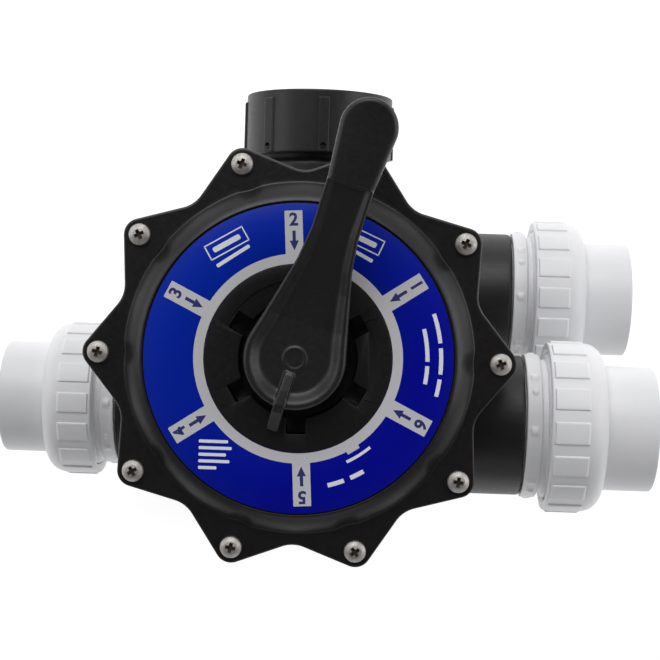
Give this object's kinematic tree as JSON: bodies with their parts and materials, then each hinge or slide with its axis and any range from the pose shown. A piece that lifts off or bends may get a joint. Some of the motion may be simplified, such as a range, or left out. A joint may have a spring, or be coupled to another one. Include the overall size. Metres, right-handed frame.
{
  "type": "multiport valve",
  "caption": "Black multiport valve with a lobed round cover, long lever handle on a dial, white union couplings on its side ports and a ribbed threaded coupling on top.",
  "frame": {"origin": "on the valve axis at the flat back of the body, which it stands on", "axes": "+Z along the valve axis from the base to the cover and handle; +X towards the two right-hand unions; +Y towards the ribbed top port"},
  "size_m": [0.405, 0.28, 0.2853],
  "materials": {
    "body_plastic": "moulded black plastic, satin",
    "cover_plastic": "moulded black plastic, semi-gloss",
    "handle_plastic": "moulded black plastic, semi-gloss",
    "adapter_plastic": "moulded black plastic, semi-gloss",
    "rotor_plastic": "moulded dark grey plastic",
    "white_pvc": "moulded white PVC, satin",
    "label_blue": "printed blue foil label, satin",
    "label_silver": "printed silver areas of the label",
    "label_ink": "dark printed marks",
    "stainless": "bright stainless steel",
    "rubber": "black nitrile rubber"
  },
  "bodies": {
    "housing": {"valve_body": "body_plastic", "cover": "cover_plastic", "cover_oring": "rubber", "cover_screws": "stainless", "cover_nuts": "stainless", "dial_label": "label_blue", "wear_washer": "stainless", "spider_gasket": "rubber", "gauge_plug": "body_plastic", "gauge_plug_oring": "rubber", "spring": "stainless", "port_adapter": "adapter_plastic", "port_adapter_oring": "rubber", "left_union_body": "white_pvc", "left_union_oring": "rubber", "upper_right_union_body": "white_pvc", "upper_right_union_oring": "rubber", "lower_right_union_body": "white_pvc", "lower_right_union_oring": "rubber"},
    "spring_seat": {"slip_washer": "stainless"},
    "rotor": {"rotor": "rotor_plastic", "shaft_orings": "rubber", "handle_pin": "stainless"},
    "handle": {"handle": "handle_plastic"},
    "left_tail": {"left_tailpiece": "white_pvc"},
    "left_nut": {"left_union_nut": "white_pvc"},
    "upper_right_tail": {"upper_right_tailpiece": "white_pvc"},
    "upper_right_nut": {"upper_right_union_nut": "white_pvc"},
    "lower_right_tail": {"lower_right_tailpiece": "white_pvc"},
    "lower_right_nut": {"lower_right_union_nut": "white_pvc"}
  },
  "joints": [
    {"name": "rotor_lift", "type": "slide", "parent": "housing", "child": "spring_seat", "axis": [0, 0, 1], "range_m": [0, 0.0048], "deforming": ["spring"]},
    {"name": "selector_turn", "type": "hinge", "parent": "spring_seat", "child": "rotor", "pos_m": [0, 0, 0.2], "axis": [0, 0, 1], "continuous": true},
    {"name": "handle_press", "type": "hinge", "parent": "rotor", "child": "handle", "pos_m": [0, 0, 0.245], "axis": [-0.9588, 0.284, 0], "range_deg": [0, 16], "stiffness_Nm_per_rad": 1.78, "springref_deg": -49.85},
    {"name": "left_tail_slide", "type": "slide", "parent": "housing", "child": "left_tail", "axis": [-1, 0, 0], "range_m": [0, 0.015]},
    {"name": "left_nut_turn", "type": "hinge", "parent": "left_tail", "child": "left_nut", "pos_m": [-0.154, -0.038, 0.054], "axis": [-1, 0, 0], "range_deg": [0, 1080]},
    {"name": "upper_right_tail_slide", "type": "slide", "parent": "housing", "child": "upper_right_tail", "axis": [1, 0, 0], "range_m": [0, 0.015]},
    {"name": "upper_right_nut_turn", "type": "hinge", "parent": "upper_right_tail", "child": "upper_right_nut", "pos_m": [0.1575, 0.038, 0.054], "axis": [1, 0, 0], "range_deg": [0, 1080]},
    {"name": "lower_right_tail_slide", "type": "slide", "parent": "housing", "child": "lower_right_tail", "axis": [1, 0, 0], "range_m": [0, 0.015]},
    {"name": "lower_right_nut_turn", "type": "hinge", "parent": "lower_right_tail", "child": "lower_right_nut", "pos_m": [0.158, -0.038, 0.164], "axis": [1, 0, 0], "range_deg": [0, 1080]}
  ],
  "couplings": [
    {"joint": "handle_press", "follows": "rotor_lift", "rad_per_m": 58.14},
    {"joint": "left_tail_slide", "follows": "left_nut_turn", "m_per_rad": 0.00079577},
    {"joint": "upper_right_tail_slide", "follows": "upper_right_nut_turn", "m_per_rad": 0.00079577},
    {"joint": "lower_right_tail_slide", "follows": "lower_right_nut_turn", "m_per_rad": 0.00079577}
  ]
}
